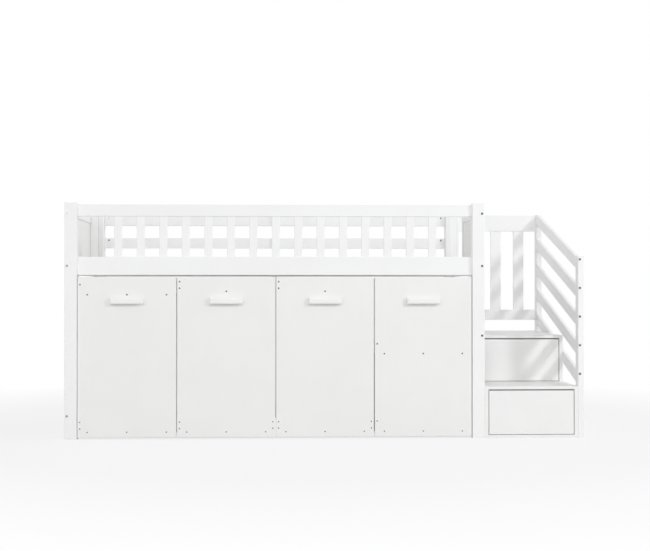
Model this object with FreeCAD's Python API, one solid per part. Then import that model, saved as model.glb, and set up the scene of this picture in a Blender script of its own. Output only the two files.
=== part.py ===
import FreeCAD, Part
import math
import os

V = FreeCAD.Vector

# Loft bed with four rolling cabinets underneath and a two-step storage staircase.
# Bench frame: X runs along the bed from the left posts' outer faces to the stairs, Y runs from the
# posts' front faces to the back, Z is up from the floor. Lengths are in millimetres.

# Corner posts
bed_length = 2030.0          # over the posts
bed_depth = 1060.0           # over the posts
post_side = 60.0
post_height = 1140.0
edge_ease = 2.0              # chamfer along the long edges of the timber

# Rails between the posts
rail_thickness = 22.0
rail_height = 57.0
side_rail_height = 89.0
side_rail_drop = 349.0       # lower edge below the posts' tops
post_stand_up = 8.0          # post top above the top rails
end_rail_inset = 2.0         # end rails behind the posts' outer faces
end_panel_thickness = 12.0
left_bottom_rail_height = 85.0   # underside above the floor
right_middle_rail_height = 469.0  # underside above the floor
entry_width = 392.0          # opening from the stairs to the mattress
entry_stile_width = 25.0
end_stile_setback = 265.0    # left stile's front face ahead of the rear posts
end_stile_thickness = 15.0

# Guard slats, tenoned into the rails above and below them
guard_slat_count = 15
guard_slat_width = 38.0
guard_slat_thickness = 14.0
guard_end_gap = 175.0        # post to the first slat
tenon_length = 8.0
tenon_shoulder = 3.0
mortise_clearance = 0.2
corner_batten_width = 31.0
batten_thickness = 20.0

# Slat platform
cleat_width = 25.0
cleat_height = 40.0
cleat_rise = 10.0            # cleat above the side rail's lower edge
bed_slat_count = 14
bed_slat_width = 70.0
bed_slat_thickness = 15.0
bed_slat_clearance = 2.0
batten_clearance = 4.0       # batten end above the bed slats

# Connector bolts
fastener_flats = 6
bolt_diameter = 6.0
bolt_head_diameter = 12.0
bolt_head_height = 2.0
barrel_nut_diameter = 10.0
barrel_nut_length = 16.0
barrel_nut_setback = 24.0    # nut axis from the rail's end
nut_clearance = 0.05
rail_bolt_drop = 12.0        # bolt axis below a long rail's upper edge
end_top_bolt_rise = 15.0     # bolt axis above an end top rail's lower edge
end_bolt_bite = 40.0         # bolt length inside an end rail or a stair bar

# Staircase
stair_width = 487.0
stair_side_thickness = 18.0
stair_board = 15.0           # treads, bottom and back
step_rise = 235.0
step_depth = 338.0
newel_width = 30.0
newel_depth = 55.0
newel_height = 885.0
bar_count = 5                # handrail and four bars below it
bar_height = 57.0            # square to the slope
bar_thickness = 18.0
bar_pitch = 139.5            # vertical
bar_bolt_offset = 13.0       # bolt axis from the bar's middle
back_rail_drop = 4.0         # back top rail below the rear newel's top
back_rail_gap = 62.0         # back bottom rail above the upper tread
back_slat_count = 3
back_slat_width = 58.0

# Stair drawers, hung on wooden runners in grooves along their sides
drawer_front_thickness = 15.0
drawer_side_gap = 3.0
drawer_top_gap = 5.0         # finger gap
drawer_bottom_gap = 2.0
drawer_box_length = 500.0
drawer_box_height = 150.0
drawer_box_rise = 15.0       # box above the front's lower edge
drawer_side_thickness = 12.0
drawer_bottom_thickness = 9.0
drawer_bottom_rise = 8.0
drawer_box_clearance = 2.0   # box side to carcass side
runner_thickness = 8.0
runner_height = 14.0
runner_setback = 15.0        # runner behind the drawer front
runner_clearance = 0.3

# Rolling cabinets, named from the left by what they hold
cabinet_kinds = ("bin", "wardrobe", "wardrobe", "shelves")
cabinet_gap = 4.0            # between neighbouring fronts
cabinet_recess = 8.0         # fronts behind the posts' front faces
cabinet_head_gap = 9.0       # below the side rail
cabinet_floor_gap = 7.0
cabinet_depth = 940.0        # front face to back face
cabinet_front_thickness = 16.0
cabinet_board = 15.0
cabinet_body_inset = 2.0     # carcass behind the front's edges
high_shelf_drop = 78.0       # top surface below the cabinet's top
middle_shelf_drop = 364.0
rod_drop = 69.0              # axis below the cabinet's top
rod_diameter = 25.0
guard_rail_thickness = 20.0
wide_guard_height = 60.0
narrow_guard_height = 30.0
narrow_guard_gap = 26.0      # above the board that it guards
top_guard_drop = 8.0         # below the cabinet's top

# Bar pulls
pull_length = 160.0
pull_height = 32.0
pull_projection = 24.0
pull_lip = 7.0               # front lip that the fingers hook behind
pull_crown = 9.0             # thickness above the finger groove
pull_flange = 6.0            # back flange against the panel
pull_flange_height = 22.0
pull_corner = 9.0            # plan radius of the ends
pull_ease = 4.0
pull_drop = 115.0            # middle below the cabinet's top

# Casters
caster_height = 27.0
wheel_diameter = 23.0
wheel_width = 12.0
axle_diameter = 4.0
axle_clearance = 0.05
wheel_side_clearance = 0.6
fork_sheet = 1.6
fork_length = 26.0
fork_axle_cover = 5.0        # fork below the axle
caster_side_inset = 45.0
caster_end_inset = 60.0

# Values that follow
overall_length = bed_length + stair_width
rear_y = bed_depth - post_side
right_x = bed_length - post_side
rail_y = (post_side - rail_thickness) / 2
rear_rail_y = rear_y + rail_y
side_rail_bottom = post_height - side_rail_drop
top_rail_top = post_height - post_stand_up
top_rail_bottom = top_rail_top - rail_height
side_rail_top = side_rail_bottom + side_rail_height
rear_middle_bottom = (side_rail_top + top_rail_bottom - rail_height) / 2
left_rail_x = end_rail_inset
right_rail_x = bed_length - end_rail_inset - rail_thickness
entry_front_y = rear_y - entry_width
cleat_top = side_rail_bottom + cleat_rise + cleat_height
bed_slat_top = cleat_top + bed_slat_thickness
batten_bottom = bed_slat_top + batten_clearance
lower_tread_top = stair_board + step_rise
upper_tread_top = lower_tread_top + step_rise
newel_x = overall_length - newel_width
stair_left_x = bed_length + stair_side_thickness
stair_right_x = newel_x - stair_side_thickness
stair_clear_width = stair_right_x - stair_left_x
bar_run = bed_depth - 2 * newel_depth
bar_rise = post_height - newel_height
bar_plumb = bar_height / math.cos(math.atan2(bar_rise, bar_run))
cabinet_top = side_rail_bottom - cabinet_head_gap
cabinet_pitch = (right_x - post_side) / len(cabinet_kinds)
cabinet_width = cabinet_pitch - cabinet_gap
base_top = caster_height + cabinet_board
pull_front_y = cabinet_recess - pull_projection
frame_origin = V(
    (overall_length - bolt_head_height) / 2,
    (pull_front_y + bed_depth + bolt_head_height) / 2,
    0,
)

parts = {}


def add(node, *solids):
    parts.setdefault(node, []).extend(solids)


def box(x, y, z, dx, dy, dz):
    return Part.makeBox(dx, dy, dz, V(x, y, z))


def runs_along(edge, axis):
    first = edge.Vertexes[0].Point
    last = edge.Vertexes[-1].Point
    return (last - first).normalize().cross(axis).Length < 1e-6


def timber(x, y, z, dx, dy, dz):
    # a bar with eased edges along its longest side
    bar = box(x, y, z, dx, dy, dz)
    sides = [dx, dy, dz]
    axis = [V(1, 0, 0), V(0, 1, 0), V(0, 0, 1)][sides.index(max(sides))]
    ease = min(edge_ease, 0.2 * min(sides))
    return bar.makeChamfer(ease, [edge for edge in bar.Edges if runs_along(edge, axis)])


def front_panel(x, y, z, dx, dy, dz):
    # a board whose front face has eased edges all round
    board = box(x, y, z, dx, dy, dz)
    rim = [edge for edge in board.Edges if abs(edge.CenterOfMass.y - y) < 1e-6]
    return board.makeChamfer(edge_ease, rim)


def tread(x, y, top, dx, dy):
    # a step board with its front edge eased above and below
    board = box(x, y, top - stair_board, dx, dy, stair_board)
    nose = [edge for edge in board.Edges if runs_along(edge, V(1, 0, 0)) and edge.CenterOfMass.y < y + 1e-6]
    return board.makeChamfer(edge_ease, nose)


def extrusion(points, along):
    wire = Part.makePolygon(points + points[:1])
    return Part.Face(wire).extrude(along)


def tenoned_slat(x, y, z, width, thickness, height):
    # an upright slat whose reduced ends enter the rails above and below
    slat = timber(x, y, z, width, thickness, height)
    tenon = box(
        x + tenon_shoulder,
        y + tenon_shoulder,
        z - tenon_length,
        width - 2 * tenon_shoulder,
        thickness - 2 * tenon_shoulder,
        height + 2 * tenon_length,
    )
    return slat.fuse(tenon).removeSplitter()


def mortise(x, y, z, width, thickness, height):
    # the pair of pockets for one tenoned slat, as one tall block to cut with
    room = tenon_shoulder - mortise_clearance
    depth = tenon_length + 1
    return box(
        x + room,
        y + room,
        z - depth,
        width - 2 * room,
        thickness - 2 * room,
        height + 2 * depth,
    )


def prism(diameter, start, direction, length):
    # a small turned part drawn with few flats
    turn = FreeCAD.Rotation(V(0, 0, 1), direction)
    angles = [2 * math.pi * (flat + 0.5) / fastener_flats for flat in range(fastener_flats)]
    ring = [V(math.cos(angle), math.sin(angle), 0) * (diameter / 2) for angle in angles]
    return extrusion([start + turn.multVec(point) for point in ring], direction * length)


def connector_bolt(seat, direction, length):
    head = prism(bolt_head_diameter, seat, direction * -1, bolt_head_height)
    shank = prism(bolt_diameter, seat, direction, length)
    return head.fuse(shank).removeSplitter()


def posts():
    for side, x in (("left", 0), ("right", right_x)):
        for row, y in (("front", 0), ("rear", rear_y)):
            add(f"{row}_{side}_post", timber(x, y, 0, post_side, post_side, post_height))


def front_guard():
    span = right_x - post_side
    slat_y = rail_y + (rail_thickness - guard_slat_thickness) / 2
    pitch = (span - 2 * guard_end_gap - guard_slat_width) / (guard_slat_count - 1)
    top_rail = timber(post_side, rail_y, top_rail_bottom, span, rail_thickness, rail_height)
    side_rail = timber(post_side, rail_y, side_rail_bottom, span, rail_thickness, side_rail_height)
    for index in range(guard_slat_count):
        place = (
            post_side + guard_end_gap + index * pitch,
            slat_y,
            side_rail_top,
            guard_slat_width,
            guard_slat_thickness,
            top_rail_bottom - side_rail_top,
        )
        add("front_guard_slats", tenoned_slat(*place))
        top_rail = top_rail.cut(mortise(*place))
        side_rail = side_rail.cut(mortise(*place))
    add("front_top_rail", top_rail)
    add("front_side_rail", side_rail)


def rear_guard():
    span = right_x - post_side
    for bottom in (top_rail_bottom, rear_middle_bottom):
        add("rear_guard_rails", timber(post_side, rear_rail_y, bottom, span, rail_thickness, rail_height))
    add(
        "rear_side_rail",
        timber(post_side, rear_rail_y, side_rail_bottom, span, rail_thickness, side_rail_height),
    )
    batten_height = top_rail_top - batten_bottom
    corners = (post_side - corner_batten_width, right_x)
    for x in corners:
        corner_y = rear_y - batten_thickness
        add(
            "rear_battens",
            timber(x, corner_y, batten_bottom, corner_batten_width, batten_thickness, batten_height),
        )
    centre_x = (bed_length - guard_slat_width) / 2
    centre_y = rear_rail_y - batten_thickness
    add(
        "rear_battens",
        timber(centre_x, centre_y, batten_bottom, guard_slat_width, batten_thickness, batten_height),
    )


def end_rail(node, x, y_end, bottom, height):
    add(node, timber(x, post_side, bottom, rail_thickness, y_end - post_side, height))


def left_end():
    for bottom, height in (
        (top_rail_bottom, rail_height),
        (side_rail_bottom, side_rail_height),
        (left_bottom_rail_height, rail_height),
    ):
        end_rail("left_end_rails", left_rail_x, rear_y, bottom, height)
    panel_x = left_rail_x + (rail_thickness - end_panel_thickness) / 2
    panel_height = top_rail_bottom - side_rail_top
    add(
        "left_end_panel",
        box(panel_x, post_side, side_rail_top, end_panel_thickness, rear_y - post_side, panel_height),
    )
    stile_x = left_rail_x + rail_thickness
    stile_y = rear_y - end_stile_setback
    stile_height = top_rail_top - batten_bottom
    add(
        "end_stiles",
        timber(stile_x, stile_y, batten_bottom, post_side - stile_x, end_stile_thickness, stile_height),
    )


def right_end():
    end_rail("right_end_rails", right_rail_x, entry_front_y, top_rail_bottom, rail_height)
    end_rail("right_end_rails", right_rail_x, rear_y, side_rail_bottom, side_rail_height)
    end_rail("right_end_rails", right_rail_x, rear_y, right_middle_rail_height, rail_height)
    panel_height = top_rail_bottom - side_rail_top
    stile_y = entry_front_y - entry_stile_width
    add(
        "end_stiles",
        timber(right_rail_x, stile_y, side_rail_top, rail_thickness, entry_stile_width, panel_height),
    )
    panel_x = right_rail_x + (rail_thickness - end_panel_thickness) / 2
    add(
        "right_end_panel",
        box(panel_x, post_side, side_rail_top, end_panel_thickness, stile_y - post_side, panel_height),
    )


def slat_platform():
    span = right_x - post_side
    front_y = rail_y + rail_thickness
    cleat_bottom = side_rail_bottom + cleat_rise
    for y in (front_y, rear_rail_y - cleat_width):
        add("slat_supports", timber(post_side, y, cleat_bottom, span, cleat_width, cleat_height))
    leg_x = (bed_length - guard_slat_width) / 2
    leg_y = rear_rail_y - cleat_width
    add("slat_supports", timber(leg_x, leg_y, 0, guard_slat_width, cleat_width, cleat_bottom))
    beam_x = left_rail_x + rail_thickness
    beam_y = (bed_depth - rail_thickness) / 2
    beam_height = cleat_top - side_rail_bottom
    add(
        "slat_supports",
        timber(beam_x, beam_y, side_rail_bottom, right_rail_x - beam_x, rail_thickness, beam_height),
    )
    gap = (span - bed_slat_count * bed_slat_width) / (bed_slat_count + 1)
    slat_y = front_y + bed_slat_clearance
    slat_length = rear_rail_y - bed_slat_clearance - slat_y
    for index in range(bed_slat_count):
        x = post_side + gap + index * (gap + bed_slat_width)
        add("bed_slats", box(x, slat_y, cleat_top, bed_slat_width, slat_length, bed_slat_thickness))


def stair_carcass():
    profile = (
        (0, 0),
        (bed_depth, 0),
        (bed_depth, upper_tread_top),
        (step_depth, upper_tread_top),
        (step_depth, lower_tread_top),
        (0, lower_tread_top),
    )
    for node, x in (("stair_left_side", bed_length), ("stair_right_side", stair_right_x)):
        add(node, extrusion([V(x, y, z) for y, z in profile], V(stair_side_thickness, 0, 0)))
    back_y = bed_depth - stair_board
    add("stair_bottom_board", box(stair_left_x, 0, 0, stair_clear_width, back_y, stair_board))
    add("lower_tread", tread(stair_left_x, 0, lower_tread_top, stair_clear_width, back_y))
    upper_depth = bed_depth - step_depth
    add("upper_tread", tread(stair_left_x, step_depth, upper_tread_top, stair_clear_width, upper_depth))
    back_height = upper_tread_top - stair_board
    add("stair_back", box(stair_left_x, back_y, 0, stair_clear_width, stair_board, back_height))


def stair_guard():
    rear_newel_y = bed_depth - newel_depth
    add("stair_front_post", timber(newel_x, 0, 0, newel_width, newel_depth, newel_height))
    add("stair_rear_post", timber(newel_x, rear_newel_y, 0, newel_width, newel_depth, post_height))
    for index in range(bar_count):
        top = newel_height - index * bar_pitch
        corners = (
            (newel_depth, top - bar_plumb),
            (rear_newel_y, top - bar_plumb + bar_rise),
            (rear_newel_y, top + bar_rise),
            (newel_depth, top),
        )
        bar = extrusion([V(newel_x, y, z) for y, z in corners], V(bar_thickness, 0, 0))
        slope = V(0, bar_run, bar_rise).normalize()
        bar = bar.makeChamfer(edge_ease, [edge for edge in bar.Edges if runs_along(edge, slope)])
        add("stair_handrail" if index == 0 else "stair_guard_bars", bar)


def stair_back_guard():
    node = "stair_back_guard"
    stile_height = top_rail_top - upper_tread_top
    add(node, timber(bed_length, rear_y, upper_tread_top, stair_board, post_side, stile_height))
    rail_x = bed_length + stair_board
    span = newel_x - rail_x
    top_bottom = post_height - back_rail_drop - side_rail_height
    low_bottom = upper_tread_top + back_rail_gap
    slat_bottom = low_bottom + rail_height
    top_rail = timber(rail_x, rear_rail_y, top_bottom, span, rail_thickness, side_rail_height)
    low_rail = timber(rail_x, rear_rail_y, low_bottom, span, rail_thickness, rail_height)
    gap = (newel_x - bed_length - back_slat_count * back_slat_width) / (back_slat_count + 1)
    for index in range(back_slat_count):
        place = (
            bed_length + gap + index * (gap + back_slat_width),
            rear_rail_y + (rail_thickness - guard_slat_thickness) / 2,
            slat_bottom,
            back_slat_width,
            guard_slat_thickness,
            top_bottom - slat_bottom,
        )
        add(node, tenoned_slat(*place))
        top_rail = top_rail.cut(mortise(*place))
        low_rail = low_rail.cut(mortise(*place))
    add(node, top_rail, low_rail)


def rail_bolts():
    # bolts along X through the posts into the long rails, each with its barrel nut
    reach = post_side + barrel_nut_setback - barrel_nut_diameter / 2 - nut_clearance
    post_mid = post_side / 2
    front_face = rail_y + rail_thickness
    rows = [(post_mid, front_face, V(0, -1, 0), rail_top, 0) for rail_top in (top_rail_top, side_rail_top)]
    rear_tops = (top_rail_top, rear_middle_bottom + rail_height, side_rail_top)
    for rail_top in rear_tops:
        rows.append((rear_y + post_mid, rear_rail_y, V(0, 1, 0), rail_top, stair_board))
    for y, nut_face, nut_axis, rail_top, packing in rows:
        z = rail_top - rail_bolt_drop
        add("frame_bolts", connector_bolt(V(0, y, z), V(1, 0, 0), reach))
        right_seat = V(bed_length + packing, y, z)
        add("frame_bolts", connector_bolt(right_seat, V(-1, 0, 0), reach + packing))
        for x in (post_side + barrel_nut_setback, right_x - barrel_nut_setback):
            add("frame_bolts", prism(barrel_nut_diameter, V(x, nut_face, z), nut_axis, barrel_nut_length))


def end_bolts():
    # bolts along Y through the posts into the end rails
    top_z = top_rail_bottom + end_top_bolt_rise
    side_z = side_rail_bottom + side_rail_height / 2
    left_x = left_rail_x + rail_thickness / 2
    right_bolt_x = right_rail_x + rail_thickness / 2
    left_bottom_z = left_bottom_rail_height + rail_height / 2
    right_middle_z = right_middle_rail_height + rail_height / 2
    front = [(left_x, z) for z in (top_z, side_z, left_bottom_z)]
    front += [(right_bolt_x, z) for z in (top_z, side_z, right_middle_z)]
    rear = [place for place in front if place != (right_bolt_x, top_z)]
    length = post_side + end_bolt_bite
    for x, z in front:
        add("frame_bolts", connector_bolt(V(x, 0, z), V(0, 1, 0), length))
    for x, z in rear:
        add("frame_bolts", connector_bolt(V(x, bed_depth, z), V(0, -1, 0), length))


def newel_bolts():
    # bolts through the newels into the ends of the sloped bars
    length = newel_depth + end_bolt_bite
    x = newel_x + bar_thickness / 2
    for index in range(bar_count):
        middle = newel_height - index * bar_pitch - bar_plumb / 2
        add("frame_bolts", connector_bolt(V(x, 0, middle + bar_bolt_offset), V(0, 1, 0), length))
        rear_z = middle + bar_rise - bar_bolt_offset
        add("frame_bolts", connector_bolt(V(x, bed_depth, rear_z), V(0, -1, 0), length))


def stair_drawer(name, front_y, bay_bottom):
    front_x = stair_left_x + drawer_side_gap
    front_width = stair_clear_width - 2 * drawer_side_gap
    front_height = step_rise - stair_board - drawer_top_gap - drawer_bottom_gap
    front_bottom = bay_bottom + drawer_bottom_gap
    front = front_panel(front_x, front_y, front_bottom, front_width, drawer_front_thickness, front_height)
    add(f"{name}_drawer_front", front)
    box_node = f"{name}_drawer_box"
    box_y = front_y + drawer_front_thickness
    box_z = front_bottom + drawer_box_rise
    groove_z = box_z + (drawer_box_height - runner_height) / 2
    groove_reach = runner_thickness + runner_clearance
    low_x = stair_left_x + drawer_box_clearance
    high_x = stair_right_x - drawer_box_clearance - drawer_side_thickness
    for x, wall_x, into in ((low_x, stair_left_x, 1), (high_x, stair_right_x, -1)):
        side = box(x, box_y, box_z, drawer_side_thickness, drawer_box_length, drawer_box_height)
        groove_x = min(wall_x, wall_x + into * groove_reach)
        groove = box(
            groove_x,
            box_y,
            groove_z - runner_clearance,
            groove_reach,
            drawer_box_length,
            runner_height + 2 * runner_clearance,
        )
        add(box_node, side.cut(groove))
        runner_start = (min(wall_x, wall_x + into * runner_thickness), box_y + runner_setback, groove_z)
        runner_size = (runner_thickness, drawer_box_length - runner_setback, runner_height)
        add("drawer_runners", box(*runner_start, *runner_size))
    inner_x = low_x + drawer_side_thickness
    inner_width = high_x - inner_x
    back_y = box_y + drawer_box_length - drawer_side_thickness
    back = box(inner_x, back_y, box_z, inner_width, drawer_side_thickness, drawer_box_height)
    bottom_z = box_z + drawer_bottom_rise
    bottom = box(inner_x, box_y, bottom_z, inner_width, back_y - box_y, drawer_bottom_thickness)
    add(box_node, back, bottom)


def bar_pull(x_mid):
    # a bar whose front lip hangs over a finger groove, with rounded ends in plan
    face_y = cabinet_recess
    top = cabinet_top - pull_drop + pull_height / 2
    bottom = top - pull_height
    lip_y = pull_front_y + pull_lip
    flange_y = face_y - pull_flange
    groove_radius = (flange_y - lip_y) / 2
    spring_z = top - pull_crown - groove_radius
    corner = V(0, pull_front_y, top)
    edges = [
        Part.LineSegment(V(0, face_y, top), corner + V(0, pull_ease, 0)),
        Part.Arc(
            corner + V(0, pull_ease, 0),
            corner + V(0, pull_ease * (1 - math.sqrt(0.5)), pull_ease * (math.sqrt(0.5) - 1)),
            corner + V(0, 0, -pull_ease),
        ),
        Part.LineSegment(corner + V(0, 0, -pull_ease), V(0, pull_front_y, bottom)),
        Part.LineSegment(V(0, pull_front_y, bottom), V(0, lip_y, bottom)),
        Part.LineSegment(V(0, lip_y, bottom), V(0, lip_y, spring_z)),
        Part.Arc(
            V(0, lip_y, spring_z),
            V(0, (lip_y + flange_y) / 2, spring_z + groove_radius),
            V(0, flange_y, spring_z),
        ),
        Part.LineSegment(V(0, flange_y, spring_z), V(0, flange_y, top - pull_flange_height)),
        Part.LineSegment(V(0, flange_y, top - pull_flange_height), V(0, face_y, top - pull_flange_height)),
        Part.LineSegment(V(0, face_y, top - pull_flange_height), V(0, face_y, top)),
    ]
    section = Part.Face(Part.Wire([edge.toShape() for edge in edges]))
    section.translate(V(x_mid - pull_length / 2, 0, 0))
    bar = section.extrude(V(pull_length, 0, 0))
    plan = box(x_mid - pull_length / 2, pull_front_y, bottom, pull_length, pull_projection, pull_height)
    front_edges = [
        edge
        for edge in plan.Edges
        if runs_along(edge, V(0, 0, 1)) and abs(edge.Vertexes[0].Point.y - pull_front_y) < 1e-6
    ]
    return bar.common(plan.makeFillet(pull_corner, front_edges)).removeSplitter()


def caster(node, x_mid, y_mid):
    # a fixed fork, open downwards, with its axle between the cheeks
    inner = wheel_width + 2 * wheel_side_clearance
    outer = inner + 2 * fork_sheet
    axle_z = wheel_diameter / 2
    fork_bottom = axle_z - fork_axle_cover
    fork_height = caster_height - fork_bottom
    y = y_mid - fork_length / 2
    fork = box(x_mid - outer / 2, y, fork_bottom, outer, fork_length, fork_height)
    slot = box(x_mid - inner / 2, y, fork_bottom, inner, fork_length, fork_height - fork_sheet)
    axle = Part.makeCylinder(axle_diameter / 2, inner, V(x_mid - inner / 2, y_mid, axle_z), V(1, 0, 0))
    add(node, fork.cut(slot), axle)


def caster_wheel(x_mid, y_mid):
    # a roller bored to run on its axle
    radius = wheel_diameter / 2
    bore = axle_diameter / 2 + axle_clearance
    start = V(x_mid - wheel_width / 2, y_mid, radius)
    roller = Part.makeCylinder(radius, wheel_width, start, V(1, 0, 0))
    return roller.cut(Part.makeCylinder(bore, wheel_width, start, V(1, 0, 0)))


def cabinet(number, kind):
    name = f"cabinet_{number}"
    x = post_side + (number - 1) * cabinet_pitch + cabinet_gap / 2
    x_mid = x + cabinet_width / 2
    panel_height = cabinet_top - cabinet_floor_gap
    panel_place = (x, cabinet_recess, cabinet_floor_gap)
    panel_size = (cabinet_width, cabinet_front_thickness, panel_height)
    add(f"{name}_front", front_panel(*panel_place, *panel_size))
    add(f"{name}_handle", bar_pull(x_mid))

    body = f"{name}_body"
    body_x = x + cabinet_body_inset
    body_width = cabinet_width - 2 * cabinet_body_inset
    body_y = cabinet_recess + cabinet_front_thickness
    back_y = cabinet_recess + cabinet_depth - cabinet_board
    run = back_y - body_y
    back_height = cabinet_top - caster_height
    add(body, box(body_x, back_y, caster_height, body_width, cabinet_board, back_height))
    add(body, box(body_x, body_y, caster_height, body_width, run, cabinet_board))

    def side_guard(left, bottom, height):
        guard_x = body_x if left else body_x + body_width - guard_rail_thickness
        add(body, timber(guard_x, body_y, bottom, guard_rail_thickness, run, height))

    def shelf(top):
        add(body, box(body_x, body_y, top - cabinet_board, body_width, run, cabinet_board))
        side_guard(True, top + narrow_guard_gap, narrow_guard_height)

    if kind == "bin":
        shelf(cabinet_top - high_shelf_drop)
        side_guard(True, base_top, wide_guard_height)
    elif kind == "wardrobe":
        side_guard(True, cabinet_top - top_guard_drop - wide_guard_height, wide_guard_height)
        side_guard(True, base_top, wide_guard_height)
        side_guard(False, base_top, wide_guard_height)
        rod_start = V(x_mid, body_y, cabinet_top - rod_drop)
        rod = Part.makeCylinder(rod_diameter / 2, run, rod_start, V(0, 1, 0))
        add(f"{name}_rod", rod)
    elif kind == "shelves":
        shelf(cabinet_top - middle_shelf_drop)
        side_guard(True, base_top + narrow_guard_gap, narrow_guard_height)

    wheel_rows = (
        ("front", body_y + caster_end_inset),
        ("rear", back_y - caster_end_inset),
    )
    for row, y in wheel_rows:
        for wheel_x in (body_x + caster_side_inset, body_x + body_width - caster_side_inset):
            caster(f"{name}_casters", wheel_x, y)
            add(f"{name}_{row}_wheels", caster_wheel(wheel_x, y))


posts()
front_guard()
rear_guard()
left_end()
right_end()
slat_platform()
stair_carcass()
stair_guard()
stair_back_guard()
rail_bolts()
end_bolts()
newel_bolts()
stair_drawer("lower", 0, stair_board)
stair_drawer("upper", step_depth, lower_tread_top)
for cabinet_number, cabinet_kind in enumerate(cabinet_kinds, start=1):
    cabinet(cabinet_number, cabinet_kind)

os.makedirs("parts", exist_ok=True)
for node, solids in parts.items():
    shape = Part.makeCompound(solids)
    shape.translate(frame_origin * -1)
    shape.exportStep(f"parts/{node}.step")
print(len(parts), "nodes,", sum(len(solids) for solids in parts.values()), "solids")
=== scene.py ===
import math

import bmesh
import bpy
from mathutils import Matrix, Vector


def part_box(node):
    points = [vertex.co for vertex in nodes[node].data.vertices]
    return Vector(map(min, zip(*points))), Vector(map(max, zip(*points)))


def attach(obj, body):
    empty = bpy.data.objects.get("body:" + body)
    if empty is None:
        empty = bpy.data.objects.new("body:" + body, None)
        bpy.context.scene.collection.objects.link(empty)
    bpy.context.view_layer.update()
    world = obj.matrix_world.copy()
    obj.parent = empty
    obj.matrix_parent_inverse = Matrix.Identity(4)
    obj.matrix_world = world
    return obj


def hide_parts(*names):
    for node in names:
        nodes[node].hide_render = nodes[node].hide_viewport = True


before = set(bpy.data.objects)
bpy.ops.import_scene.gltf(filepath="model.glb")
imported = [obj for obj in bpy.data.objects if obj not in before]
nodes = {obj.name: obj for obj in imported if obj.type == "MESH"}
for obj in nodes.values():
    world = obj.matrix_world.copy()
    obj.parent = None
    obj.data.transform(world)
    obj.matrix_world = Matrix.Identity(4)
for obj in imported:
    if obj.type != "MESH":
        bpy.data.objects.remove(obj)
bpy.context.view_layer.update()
tiny = 1e-6
print("frame loaded:", len(nodes), "nodes")


def putInScene(name, data):
    made = bpy.data.objects.new(name, data)
    bpy.context.scene.collection.objects.link(made)
    return made


def emptyTree(owner):
    owner.use_nodes = True
    owner.node_tree.nodes.clear()
    return owner.node_tree


def addNode(tree, kind, values=None, **settings):
    # values sets sockets by name or number, with a constant or with a link
    node = tree.nodes.new(kind)
    for key, value in settings.items():
        setattr(node, key, value)
    for key, value in (values or {}).items():
        if isinstance(value, bpy.types.NodeSocket):
            tree.links.new(value, node.inputs[key])
        else:
            node.inputs[key].default_value = value
    return node


def mathNode(tree, operation, first, second=0.0):
    node = addNode(tree, "ShaderNodeMath", {0: first, 1: second}, operation=operation)
    return node.outputs[0]


def vectorNode(tree, operation, values):
    return addNode(tree, "ShaderNodeVectorMath", values, operation=operation).outputs


def noiseNode(tree, vector, scale, detail):
    values = {"Vector": vector, "Scale": scale, "Detail": detail}
    return addNode(tree, "ShaderNodeTexNoise", values).outputs


def mixColours(tree, factor, first, second):
    node = addNode(tree, "ShaderNodeMix", {0: factor, 6: first, 7: second}, data_type="RGBA")
    return node.outputs[2]


def spread(tree, value, given, wanted):
    # carries one range of values over to another, held at both ends
    node = addNode(
        tree,
        "ShaderNodeMapRange",
        {
            "Value": value,
            "From Min": given[0],
            "From Max": given[1],
            "To Min": wanted[0],
            "To Max": wanted[1],
        },
    )
    return node.outputs[0]


def newGroup(name, inputs, outputs):
    group = bpy.data.node_groups.new(name, "ShaderNodeTree")
    for label, kind, value in inputs:
        socket = group.interface.new_socket(label, in_out="INPUT", socket_type=kind)
        if value is not None:
            socket.default_value = value
    for label in outputs:
        group.interface.new_socket(label, in_out="OUTPUT", socket_type="NodeSocketFloat")
    entry = group.nodes.new("NodeGroupInput")
    leave = group.nodes.new("NodeGroupOutput")
    return group, entry.outputs, leave.inputs


# timber grain: year rings and long fibres, for a vector whose Z runs along the board
grainLook = {
    "ringSpacing": 0.009,
    "fibreSpacing": 0.0011,
    "wander": 0.012,
    "swayScale": 7.0,
    "streakScale": 38.0,
    "pith": (0.31, 0.17),
    "lateCurve": 2.4,
    "earlyFall": 0.12,
    "earlyShare": 0.8,
}


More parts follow.
